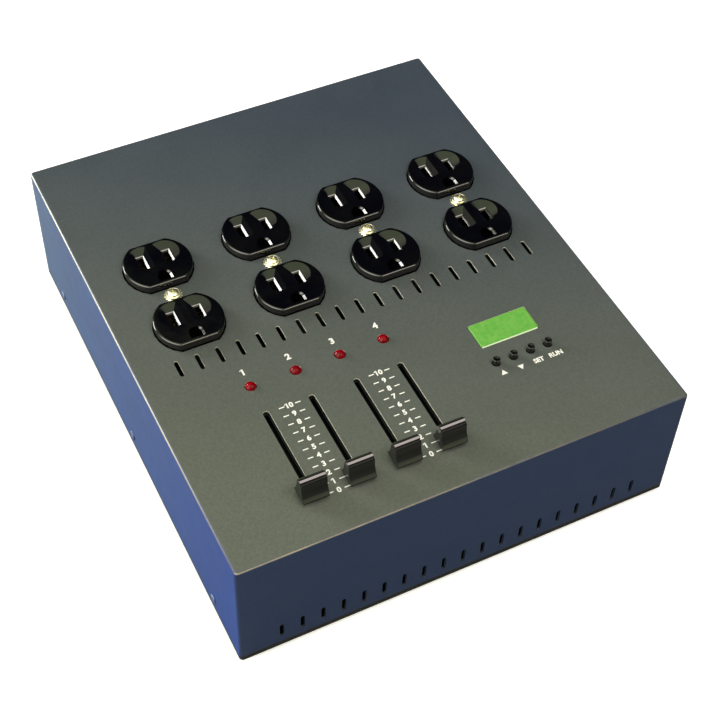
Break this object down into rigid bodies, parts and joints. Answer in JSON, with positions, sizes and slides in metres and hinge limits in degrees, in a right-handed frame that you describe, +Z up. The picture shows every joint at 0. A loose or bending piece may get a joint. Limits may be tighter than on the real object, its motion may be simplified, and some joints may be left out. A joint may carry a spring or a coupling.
{
  "type": "dimmer pack",
  "caption": "Flat steel stage dimmer pack with duplex outlets on its top panel, a slide fader and lamp for each channel, a small display with menu buttons, and data sockets at the rear.",
  "frame": {"origin": "on the floor, under the middle of the whole part's box, rear fittings included", "axes": "+Z up; -Y towards the operator, where the faders are; +X to the operator's right, where the display is"},
  "size_m": [0.2216, 0.2774, 0.086],
  "materials": {
    "painted_case": "satin grey paint on folded sheet steel",
    "zinc_steel": "zinc-plated steel",
    "nickel_screw": "bright nickel plate",
    "black_moulding": "glossy black moulding",
    "black_plastic": "satin black moulding",
    "red_plastic": "red cap",
    "red_lens": "deep red diffused lens",
    "green_display": "lit green display face",
    "green_board": "green circuit board with its soldered parts",
    "heat_sink_aluminium": "extruded, as drawn",
    "laminated_steel": "varnished laminations and wound coil",
    "foot_rubber": "soft black rubber"
  },
  "bodies": {
    "case": {"case_cover": "painted_case", "base_plate": "painted_case", "foot_front_left": "foot_rubber", "foot_front_right": "foot_rubber", "foot_rear_left": "foot_rubber", "foot_rear_right": "foot_rubber", "case_screw_left_front": "zinc_steel", "case_screw_left_middle": "zinc_steel", "case_screw_left_rear": "zinc_steel", "case_screw_right_front": "zinc_steel", "case_screw_right_middle": "zinc_steel", "case_screw_right_rear": "zinc_steel", "receptacle_1": "black_moulding", "receptacle_strap_1": "zinc_steel", "receptacle_screw_1": "nickel_screw", "triac_1": "black_plastic", "receptacle_2": "black_moulding", "receptacle_strap_2": "zinc_steel", "receptacle_screw_2": "nickel_screw", "triac_2": "black_plastic", "receptacle_3": "black_moulding", "receptacle_strap_3": "zinc_steel", "receptacle_screw_3": "nickel_screw", "triac_3": "black_plastic", "receptacle_4": "black_moulding", "receptacle_strap_4": "zinc_steel", "receptacle_screw_4": "nickel_screw", "triac_4": "black_plastic", "channel_led_1": "red_lens", "fader_frame_1": "zinc_steel", "channel_led_2": "red_lens", "fader_frame_2": "zinc_steel", "channel_led_3": "red_lens", "fader_frame_3": "zinc_steel", "channel_led_4": "red_lens", "fader_frame_4": "zinc_steel", "display_window": "green_display", "display_holder": "black_plastic", "control_board": "green_board", "power_board": "green_board", "heat_sink": "heat_sink_aluminium", "transformer": "laminated_steel", "data_input_socket": "black_plastic", "data_output_socket": "black_plastic", "breaker_body": "black_plastic", "cord_gland": "black_plastic"},
    "fader_1": {"fader_lever_1": "zinc_steel", "fader_knob_1": "black_moulding"},
    "fader_2": {"fader_lever_2": "zinc_steel", "fader_knob_2": "black_moulding"},
    "fader_3": {"fader_lever_3": "zinc_steel", "fader_knob_3": "black_moulding"},
    "fader_4": {"fader_lever_4": "zinc_steel", "fader_knob_4": "black_moulding"},
    "up_key": {"button_up": "black_plastic"},
    "down_key": {"button_down": "black_plastic"},
    "function_key": {"button_function": "black_plastic"},
    "mode_key": {"button_mode": "black_plastic"},
    "breaker_reset": {"breaker_button": "red_plastic"},
    "output_latch": {"data_output_latch": "nickel_screw"}
  },
  "joints": [
    {"name": "fader_1_slide", "type": "slide", "parent": "case", "child": "fader_1", "axis": [0, 1, 0], "range_m": [0, 0.045]},
    {"name": "fader_2_slide", "type": "slide", "parent": "case", "child": "fader_2", "axis": [0, 1, 0], "range_m": [0, 0.045]},
    {"name": "fader_3_slide", "type": "slide", "parent": "case", "child": "fader_3", "axis": [0, 1, 0], "range_m": [0, 0.045]},
    {"name": "fader_4_slide", "type": "slide", "parent": "case", "child": "fader_4", "axis": [0, 1, 0], "range_m": [0, 0.045]},
    {"name": "up_key_press", "type": "slide", "parent": "case", "child": "up_key", "axis": [0, 0, -1], "range_m": [0, 0.0005], "stiffness_N_per_m": 400, "springref_m": -0.001},
    {"name": "down_key_press", "type": "slide", "parent": "case", "child": "down_key", "axis": [0, 0, -1], "range_m": [0, 0.0005], "stiffness_N_per_m": 400, "springref_m": -0.001},
    {"name": "function_key_press", "type": "slide", "parent": "case", "child": "function_key", "axis": [0, 0, -1], "range_m": [0, 0.0005], "stiffness_N_per_m": 400, "springref_m": -0.001},
    {"name": "mode_key_press", "type": "slide", "parent": "case", "child": "mode_key", "axis": [0, 0, -1], "range_m": [0, 0.0005], "stiffness_N_per_m": 400, "springref_m": -0.001},
    {"name": "breaker_reset_press", "type": "slide", "parent": "case", "child": "breaker_reset", "axis": [0, -1, 0], "range_m": [0, 0.004], "stiffness_N_per_m": 400, "springref_m": -0.003},
    {"name": "output_latch_press", "type": "slide", "parent": "case", "child": "output_latch", "axis": [0, -1, 0], "range_m": [0, 0.0015], "stiffness_N_per_m": 500, "springref_m": -0.002}
  ]
}
